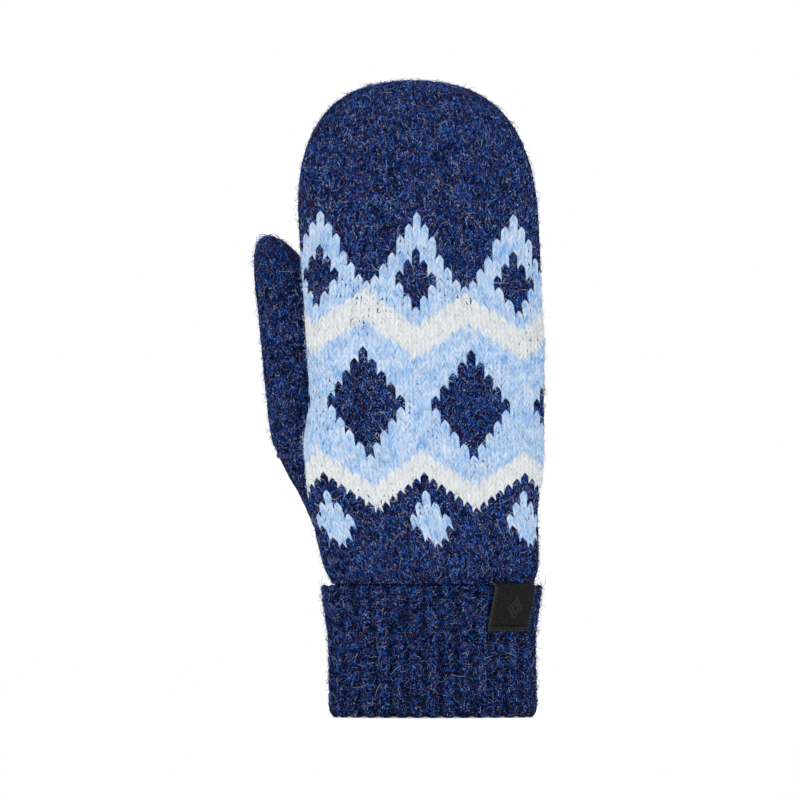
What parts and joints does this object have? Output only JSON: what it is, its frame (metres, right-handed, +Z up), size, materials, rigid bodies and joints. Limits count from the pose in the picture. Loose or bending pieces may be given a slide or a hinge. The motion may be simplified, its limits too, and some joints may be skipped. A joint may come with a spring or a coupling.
{
  "type": "knitted mitten",
  "caption": "Lined knitted mitten for a right hand with a diamond colourwork back, a separate thumb and a ribbed turned-up cuff with a small folded label tab.",
  "frame": {"origin": "on the surface the mitten stands on, under the centre of its whole outline", "axes": "+Z up from the cuff to the fingertips, -Y out of the back of the hand, +Y out of the palm, -X towards the thumb"},
  "size_m": [0.1229, 0.0533, 0.27],
  "materials": {
    "wool_knit": "brushed heathered navy wool knit in V stitches, with pale blue and off-white colourwork",
    "rib_knit": "brushed heathered navy wool rib",
    "fleece": "soft matt fleece",
    "label_leather": "matt black imitation leather with fine grain",
    "sewing_thread": "twisted black thread",
    "woven_label": "smooth blank woven ribbon"
  },
  "bodies": {
    "cuff": {"cuff_turn_up": "rib_knit", "label_tab": "label_leather", "label_stitching": "sewing_thread"},
    "hand": {"cuff_inner_layer": "rib_knit", "hand_shell": "wool_knit", "lining_back_panel": "fleece", "lining_palm_panel": "fleece", "lining_join_seam": "sewing_thread", "care_label": "woven_label"},
    "thumb_root": {"thumb_join_seam": "wool_knit"},
    "thumb": {"thumb_shell": "wool_knit", "thumb_lining": "fleece"}
  },
  "joints": [
    {"name": "cuff_unroll", "type": "slide", "parent": "cuff", "child": "hand", "axis": [0, 0, 1], "range_m": [0, 0.04]},
    {"name": "thumb_spread", "type": "hinge", "parent": "hand", "child": "thumb_root", "pos_m": [-0.03077, 0.0072, 0.096], "axis": [0, -1, 0], "range_deg": [0, 40]},
    {"name": "thumb_swing", "type": "hinge", "parent": "thumb_root", "child": "thumb", "pos_m": [-0.03077, 0.0072, 0.096], "axis": [-1, 0, 0], "range_deg": [0, 35]}
  ]
}
